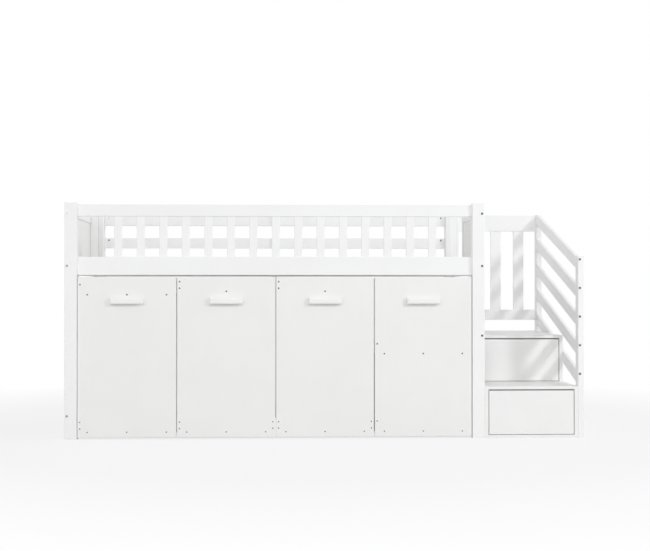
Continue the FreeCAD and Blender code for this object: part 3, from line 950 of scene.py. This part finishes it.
def bracketTemplate():
    # the axle's middle is the origin; cheeks taper from the plate to an eye round the axle
    look = casters
    top, half, eye = look["rise"], look["halfLength"], look["eye"]
    bend = top - look["cheekDrop"]
    cheek = [(-half, top), (-half, bend)]
    for a in arcTurns(*look["eyeArc"], look["eyeSteps"]):
        cheek.append((eye * math.cos(a), eye * math.sin(a)))
    cheek += [(half, bend), (half, top)]
    bm = bmesh.new()
    inner, outer = look["cheekInner"], look["cheekInner"] + look["sheet"]
    for side in (-1, 1):
        prism(bm, cheek, lambda u, v, w: (side * w, u, v), inner, outer)
    corner, reach = look["plateCorner"], look["plateReach"]
    plate = []
    for signX, signY, start in ((1, 1, 0), (-1, 1, 90), (-1, -1, 180), (1, -1, 270)):
        middleX, middleY = signX * (reach - corner), signY * (half - corner)
        for a in arcTurns(start, start + 90, look["cornerSteps"]):
            plate.append((middleX + corner * math.cos(a), middleY + corner * math.sin(a)))
    prism(bm, plate, lambda u, v, w: (u, v, w), top - look["sheet"], top)
    pin, rivet, rise = look["pinRadius"], look["rivetRadius"], look["rivetRise"]
    ends = [(look["rivetTip"], outer + rise)]
    ends += [(rivet * wide, outer + rise * tall) for wide, tall in look["rivetCrown"]]
    ends += [(rivet, outer), (pin, outer)]
    lathe(bm, mirrored(ends), look["pinSegments"], lambda x, y, z: (z, x, y))
    return finishTemplate(bm, "bracketTemplate")


templates["roller"] = rollerTemplate()
templates["bracket"] = bracketTemplate()
for name in cabinetNames:
    axles = []
    for row in ("front", "rear"):
        low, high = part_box(f"{name}_{row}_wheels")
        middleY, middleZ = (low.y + high.y) / 2, (low.z + high.z) / 2
        inset = casters["wheelWidth"] / 2
        spots = [(low.x + inset, middleY, middleZ), (high.x - inset, middleY, middleZ)]
        rollers = scatterPieces(
            f"{name}_{row}_rollers",
            "roller",
            [(spot, (1, 0, 0)) for spot in spots],
            casters["wheelSize"],
            casters["wheelWidth"],
            "wheelPlastic",
        )
        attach(rollers, f"{name}_{row}_axle")
        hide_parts(f"{name}_{row}_wheels")
        axles += spots
    brackets = scatterPieces(
        f"{name}_forks", "bracket", [(spot, (0, 0, 1)) for spot in axles], 1.0, 1.0, "brightZinc", spin=0.0
    )
    under = casters["rise"] - casters["sheet"]
    fixings = []
    for x, y, z in axles:
        for side in (-1, 1):
            fixings.append(((x + side * casters["screwReach"], y, z + under), (0, 0, -1)))
    plateScrews = scatterPieces(
        f"{name}_plate_screws", "screw", fixings, casters["screwWidth"], casters["screwHeight"], "screwZinc"
    )
    brackets = joined(f"{name}_brackets", [brackets, plateScrews])
    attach(brackets, name)
    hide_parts(f"{name}_casters")
print("casters:", 4 * len(cabinetNames), "brackets with rollers")


# screws out of the photograph's sight: bed slats, the pulls' backs and the stair's side
hiddenScrews = {
    "slatCount": 14,
    "slatWidth": 0.07,
    "slatInset": 0.0135,
    "slatHead": 0.0074,
    "pullSpacing": 0.048,
    "pullDrop": 0.011,
    "pullHead": 0.0086,
    "pullRise": 0.0018,
    "stairHead": 0.009,
    "stairDepth": 0.0075,
    "stairInset": 0.055,
    "longBoard": 0.6,
    "shortCount": 3,
    "longCount": 4,
    "flush": 0.0005,
}


def slatPlaces():
    low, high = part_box("bed_slats")
    look = hiddenScrews
    pitch = (high.x - low.x - look["slatWidth"]) / (look["slatCount"] - 1)
    rows = (low.y + look["slatInset"], (low.y + high.y) / 2, high.y - look["slatInset"])
    places = []
    for index in range(look["slatCount"]):
        x = low.x + look["slatWidth"] / 2 + index * pitch
        places += [((x, y, high.z), (0, 0, 1)) for y in rows]
    return places


def stairPlaces():
    look = hiddenScrews
    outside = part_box("stair_right_side")[1].x
    places = []
    for board in ("stair_bottom_board", "lower_tread", "upper_tread"):
        low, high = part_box(board)
        run = high.y - low.y - 2 * look["stairInset"]
        count = look["shortCount"] if run < look["longBoard"] else look["longCount"]
        for index in range(count):
            y = low.y + look["stairInset"] + run * index / (count - 1)
            places.append(((outside, y, high.z - look["stairDepth"]), (1, 0, 0)))
    return places


slatScrews = scatterPieces(
    "slat_screws", "screw", slatPlaces(), hiddenScrews["slatHead"], hiddenScrews["flush"], "screwZinc"
)
stairScrews = scatterPieces(
    "side_screws", "screw", stairPlaces(), hiddenScrews["stairHead"], hiddenScrews["flush"], "screwZinc"
)
frameScrews = joined("frame_screws", [slatScrews, stairScrews])
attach(frameScrews, "bed_frame")
for name in cabinetNames:
    low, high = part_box(f"{name}_handle")
    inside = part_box(f"{name}_front")[1].y
    x, z = (low.x + high.x) / 2, high.z - hiddenScrews["pullDrop"]
    places = [((x + side * hiddenScrews["pullSpacing"], inside, z), (0, 1, 0)) for side in (-1, 1)]
    pullScrews = scatterPieces(
        f"{name}_pull_screws",
        "screw",
        places,
        hiddenScrews["pullHead"],
        hiddenScrews["pullRise"],
        "brightZinc",
    )
    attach(pullScrews, name)
print("screws on the slats, the stair side and the pulls' backs")


# pulls: eased bars with a rolled lip over the finger groove, their ends rounded in plan
pulls = {
    "height": 0.0318,
    "topEase": (0.006, 0.005),
    "lipRoll": (0.0062, 0.0075),
    "lip": 0.007,
    "crown": 0.009,
    "flange": 0.006,
    "flangeDrop": 0.022,
    "edgeBreak": 0.0006,
    "endRound": (0.009, 0.0055),
    "endEase": 0.0014,
    "endSteps": 9,
    "arcSteps": 8,
    "smoothAngle": 35.0,
}


def pullSection(projection):
    # (reach from the panel, drop from the top) round the bar, from the panel's upper edge
    look = pulls
    turns = arcTurns(0, 90, look["arcSteps"])
    topDeep, topTall = look["topEase"]
    rollDeep, rollTall = look["lipRoll"]
    height, flange, bottom, nick = look["height"], look["flange"], look["flangeDrop"], look["edgeBreak"]
    inner = projection - look["lip"]
    arch = (inner - flange) / 2
    spring = look["crown"] + arch
    middle = (inner + flange) / 2
    section = [(0.0, 0.0)]
    for a in turns:
        section.append((projection - topDeep * (1 - math.sin(a)), topTall * (1 - math.cos(a))))
    for a in turns:
        section.append((projection - rollDeep * (1 - math.cos(a)), height - rollTall * (1 - math.sin(a))))
    section.append((inner, height - nick))
    for a in turns:
        section.append((middle + arch * math.cos(2 * a), spring - arch * math.sin(2 * a)))
    section += [(flange, bottom - nick), (flange - nick, bottom), (0.0, bottom)]
    return section


def makePull(name):
    look = pulls
    low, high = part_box(f"{name}_handle")
    projection = high.y - low.y
    section = pullSection(projection)
    run, deep = look["endRound"]
    ease = look["endEase"]
    stations = [run * (1 - math.cos(a)) for a in arcTurns(0, 90, look["endSteps"])]
    slices = [(low.x + along, along) for along in stations]
    slices += [(high.x - along, along) for along in reversed(stations)]
    bm = bmesh.new()
    rings = []
    for x, along in slices:
        reach = projection - deep * (1 - math.sqrt(max(0.0, 1 - (1 - along / run) ** 2)))
        share = min(along / ease, 1.0)
        trim = ease * (1 - math.sqrt(1 - (1 - share) ** 2))
        ring = []
        for out, drop in section:
            drop = min(max(drop, trim), look["height"] - trim)
            ring.append(bm.verts.new((x, high.y - min(out, reach), high.z - drop)))
        rings.append(ring)
    for ring, after in zip(rings, rings[1:]):
        for index in range(len(section)):
            follow = (index + 1) % len(section)
            bm.faces.new((ring[index], ring[follow], after[follow], after[index]))
    bm.faces.new(rings[0])
    bm.faces.new(reversed(rings[-1]))
    bmesh.ops.remove_doubles(bm, verts=bm.verts, dist=tiny)
    bmesh.ops.recalc_face_normals(bm, faces=bm.faces)
    mesh = bpy.data.meshes.new(f"{name}_pull")
    bm.to_mesh(mesh)
    bm.free()
    mesh.shade_smooth()
    mesh.set_sharp_from_angle(angle=math.radians(look["smoothAngle"]))
    mesh.materials.append(finishFor("pullLacquer_x"))
    pull = putInScene(f"{name}_pull", mesh)
    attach(pull, name)
    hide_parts(f"{name}_handle")


for name in cabinetNames:
    makePull(name)
print("pulls:", len(cabinetNames))


# stage, light and camera
studio = {
    "floorSize": 60.0,
    "floorColour": (0.66, 0.66, 0.66, 1.0),
    "gritColour": (0.6, 0.6, 0.6, 1.0),
    "gritScale": 9.0,
    "gritRange": (0.3, 0.7),
    "gritShare": 0.05,
    "clearing": (1.9, 3.4),
    "whiteShare": 0.8,
    "white": (1.0, 1.0, 1.0, 1.0),
    "skyStrength": 0.355,
    "skyColour": (1.0, 1.0, 0.995, 1.0),
}
lamps = {
    "keyLight": {
        "place": (4.6, -4.7, 3.5),
        "aim": (0.2, -0.3, 0.6),
        "size": 0.85,
        "strength": 114.0,
        "colour": (0.985, 0.995, 1.0),
    },
    "sideLight": {
        "place": (-4.0, -4.9, 1.6),
        "aim": (-0.3, -0.3, 0.6),
        "size": 2.6,
        "strength": 35.0,
        "colour": (1.0, 1.0, 0.985),
    },
    "frontFill": {
        "from": (0.0, -1.0, 0.45),
        "angle": 40.0,
        "strength": 0.81,
        "colour": (1.0, 1.0, 1.0),
    },
    "leftFill": {
        "from": (-1.0, 0.25, 0.55),
        "angle": 60.0,
        "strength": 0.72,
        "colour": (1.0, 1.0, 0.99),
    },
    "rightFill": {
        "from": (1.0, 0.25, 0.55),
        "angle": 60.0,
        "strength": 0.976,
        "colour": (1.0, 1.0, 1.0),
    },
}


def seenDirectly(tree):
    path = addNode(tree, "ShaderNodeLightPath").outputs
    first = mathNode(tree, "MAXIMUM", path["Is Camera Ray"], path["Is Glossy Ray"])
    return mathNode(tree, "MAXIMUM", first, path["Is Transmission Ray"])


def makeFloor():
    # matt near the bed, where it keeps the shadow, and fading to plain white further out
    half = studio["floorSize"] / 2
    corners = [(-half, -half, 0), (half, -half, 0), (half, half, 0), (-half, half, 0)]
    mesh = bpy.data.meshes.new("studioFloor")
    mesh.from_pydata(corners, [], [(0, 1, 2, 3)])
    floor = putInScene("studioFloor", mesh)
    material = bpy.data.materials.new("paleFloor")
    tree = emptyTree(material)
    where = plainVector(tree)
    grit = noiseNode(tree, where, studio["gritScale"], 3.0)[0]
    specks = spread(tree, grit, studio["gritRange"], (0.0, studio["gritShare"]))
    tone = mixColours(tree, specks, studio["floorColour"], studio["gritColour"])
    matt = addNode(tree, "ShaderNodeBsdfDiffuse", {"Color": tone})
    white = addNode(tree, "ShaderNodeEmission", {"Color": studio["white"], "Strength": 1.0})
    away = vectorNode(tree, "LENGTH", {0: where})["Value"]
    fade = spread(tree, away, studio["clearing"], (studio["whiteShare"], 1.0))
    shown = mathNode(tree, "MULTIPLY", fade, seenDirectly(tree))
    blend = addNode(tree, "ShaderNodeMixShader", {0: shown, 1: matt.outputs[0], 2: white.outputs[0]})
    addNode(tree, "ShaderNodeOutputMaterial", {"Surface": blend.outputs[0]})
    mesh.materials.append(material)


def makeSky():
    # a soft glow for the light, plain white where it is seen
    world = bpy.data.worlds.new("studioSky")
    bpy.context.scene.world = world
    tree = emptyTree(world)
    shades = []
    for colour, strength in (
        (studio["skyColour"], studio["skyStrength"]),
        (studio["white"], 1.0),
    ):
        shade = addNode(tree, "ShaderNodeBackground", {"Color": colour, "Strength": strength})
        shades.append(shade.outputs[0])
    blend = addNode(tree, "ShaderNodeMixShader", {0: seenDirectly(tree), 1: shades[0], 2: shades[1]})
    addNode(tree, "ShaderNodeOutputWorld", {"Surface": blend.outputs[0]})


def makeLamp(name, look):
    # a lamp with a place is a round softbox aimed at a point, the others are wide suns
    near = "place" in look
    lamp = bpy.data.lights.new(name, "AREA" if near else "SUN")
    lamp.energy = look["strength"]
    lamp.color = look["colour"]
    lampObject = putInScene(name, lamp)
    if near:
        lamp.shape = "DISK"
        lamp.size = look["size"]
        lampObject.location = look["place"]
        towards = Vector(look["place"]) - Vector(look["aim"])
    else:
        lamp.angle = math.radians(look["angle"])
        towards = Vector(look["from"])
    lampObject.rotation_euler = towards.to_track_quat("Z", "Y").to_euler()


cameraView = {
    "place": (-0.2465, -6.7915, 0.741),
    "pitch": 90.44,
    "yaw": -2.21,
    "lens": 71.83,
    "sensor": 36.0,
}


def makeCamera():
    data = bpy.data.cameras.new("photoCamera")
    data.lens = cameraView["lens"]
    data.sensor_width = cameraView["sensor"]
    camera = putInScene("photoCamera", data)
    camera.location = cameraView["place"]
    camera.rotation_euler = (math.radians(cameraView["pitch"]), 0.0, math.radians(cameraView["yaw"]))
    bpy.context.scene.camera = camera


makeFloor()
makeSky()
for name, look in lamps.items():
    makeLamp(name, look)
makeCamera()
bpy.context.scene.view_settings.view_transform = "Standard"
print("stage, light and camera ready")
